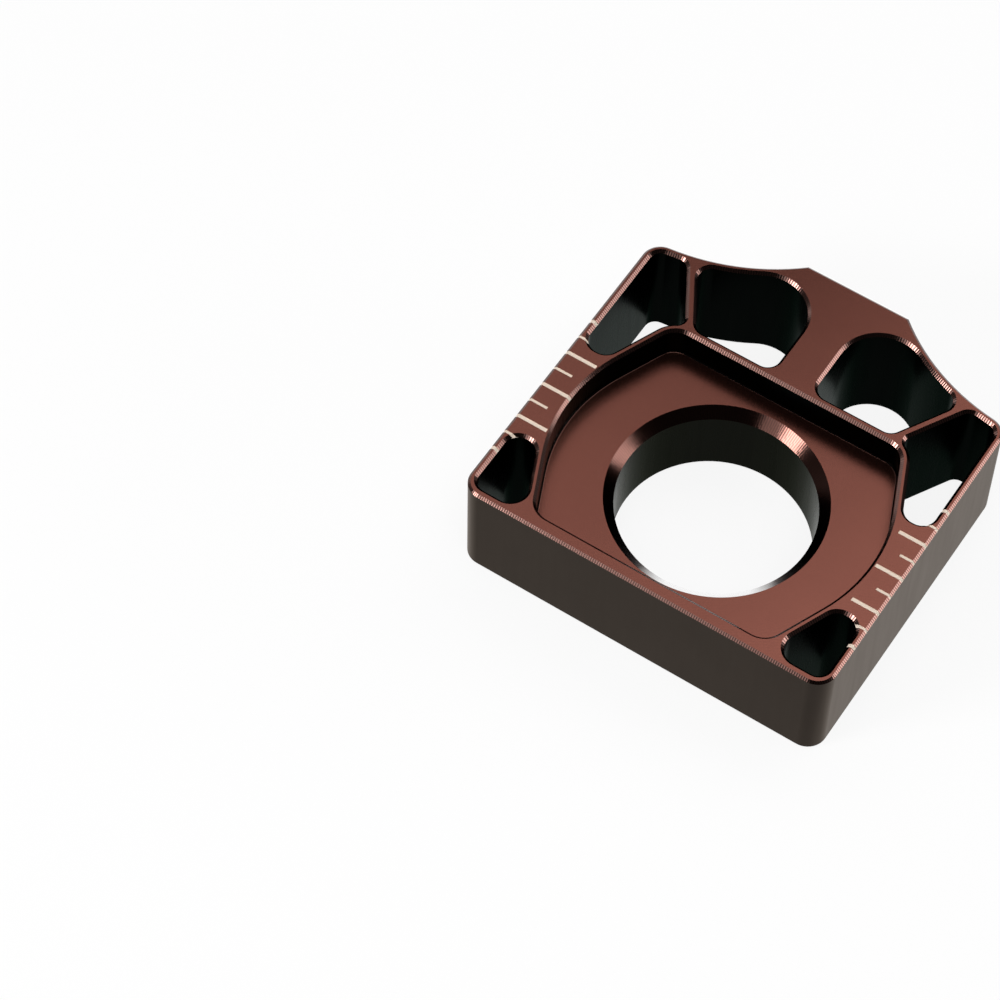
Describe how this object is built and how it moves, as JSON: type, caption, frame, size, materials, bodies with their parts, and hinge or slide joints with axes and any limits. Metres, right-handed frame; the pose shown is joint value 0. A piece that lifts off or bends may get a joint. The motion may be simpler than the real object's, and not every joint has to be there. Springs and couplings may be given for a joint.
{
  "type": "motorcycle chain adjuster",
  "caption": "Milled aluminium axle block with a flat-sided seat round a chamfered axle bore, lightening pockets, a flat nose for the adjuster bolt and an engraved scale along each side.",
  "frame": {"origin": "on the axle bore's centre line, in the plane of the block's back face", "axes": "+Z along the axle, out of the side with the seat; +Y towards the nose that the adjuster bolt pushes on; +X across the block"},
  "size_m": [0.0456, 0.046, 0.014],
  "materials": {
    "anodised_aluminium": "satin brown anodised, machined"
  },
  "bodies": {
    "root": {"axle_block": "anodised_aluminium"}
  },
  "joints": []
}
